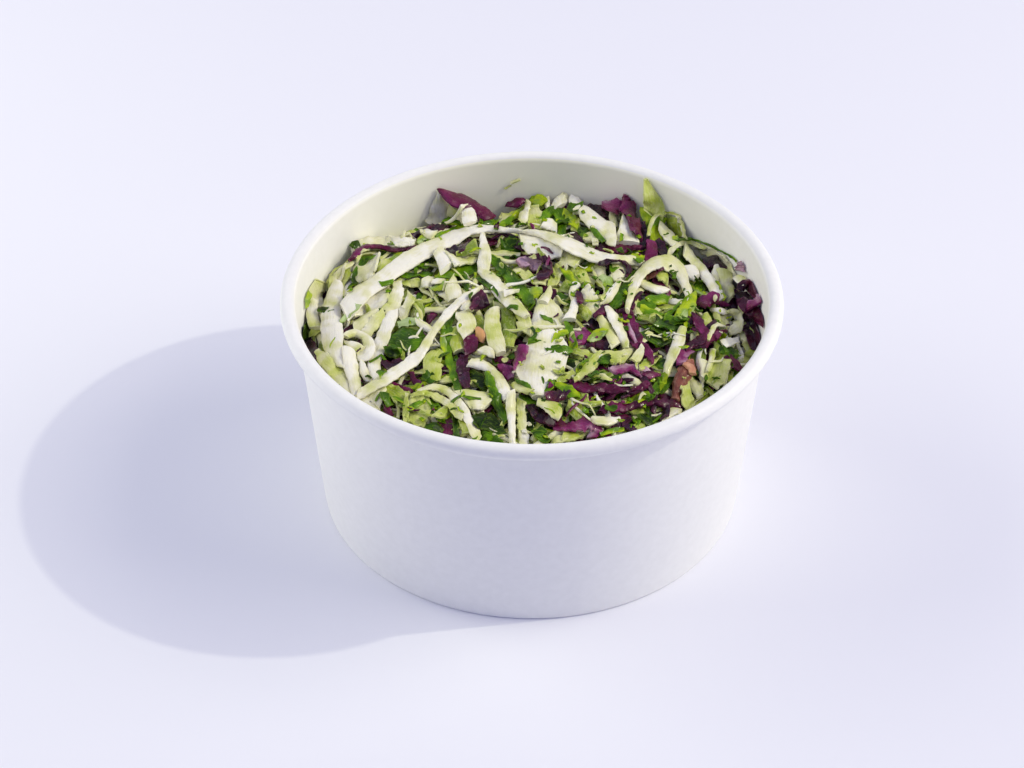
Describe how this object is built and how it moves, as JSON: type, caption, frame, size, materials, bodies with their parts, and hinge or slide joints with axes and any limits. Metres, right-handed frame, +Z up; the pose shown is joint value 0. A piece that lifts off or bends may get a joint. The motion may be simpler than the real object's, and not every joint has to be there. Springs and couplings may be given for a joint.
{
  "type": "cup of chopped salad",
  "caption": "Round white paper tub with a rolled rim, filled nearly to the rim with shredded white and red cabbage salad and chopped green herbs.",
  "frame": {"origin": "middle of the tub's foot, on the surface that it stands on", "axes": "+Z up through the open top, +Y to the back, +X to the right of the view from the front"},
  "size_m": [0.15, 0.15, 0.074],
  "materials": {
    "paperboard": "white coated paperboard, smooth, low sheen",
    "salad": "moist shredded cabbage and herbs, light gloss"
  },
  "bodies": {
    "root": {"tub_wall": "paperboard", "tub_base": "paperboard", "salad": "salad"}
  },
  "joints": []
}
